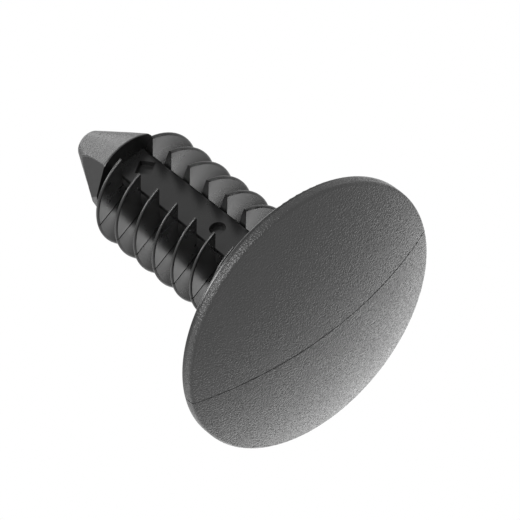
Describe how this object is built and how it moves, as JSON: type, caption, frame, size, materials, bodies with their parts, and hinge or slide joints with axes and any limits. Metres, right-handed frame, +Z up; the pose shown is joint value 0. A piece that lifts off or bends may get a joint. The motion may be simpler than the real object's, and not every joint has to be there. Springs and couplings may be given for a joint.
{
  "type": "dart clip",
  "caption": "One-piece plastic push-in panel clip: shallow domed round head, flat-sided shank with thin drooping half-round fins on two sides, and a blunt cone tip.",
  "frame": {"origin": "centre of the head's flat bearing face", "axes": "+Z up the shank to the tip, the dome bulges to -Z and the part stands on its crown; the mould halves meet on y = 0, the smooth lands face -Y and +Y"},
  "size_m": [0.025, 0.025, 0.0313],
  "materials": {
    "plastic": "black nylon, finely grained, satin"
  },
  "bodies": {
    "root": {"dart_clip": "plastic"}
  },
  "joints": []
}
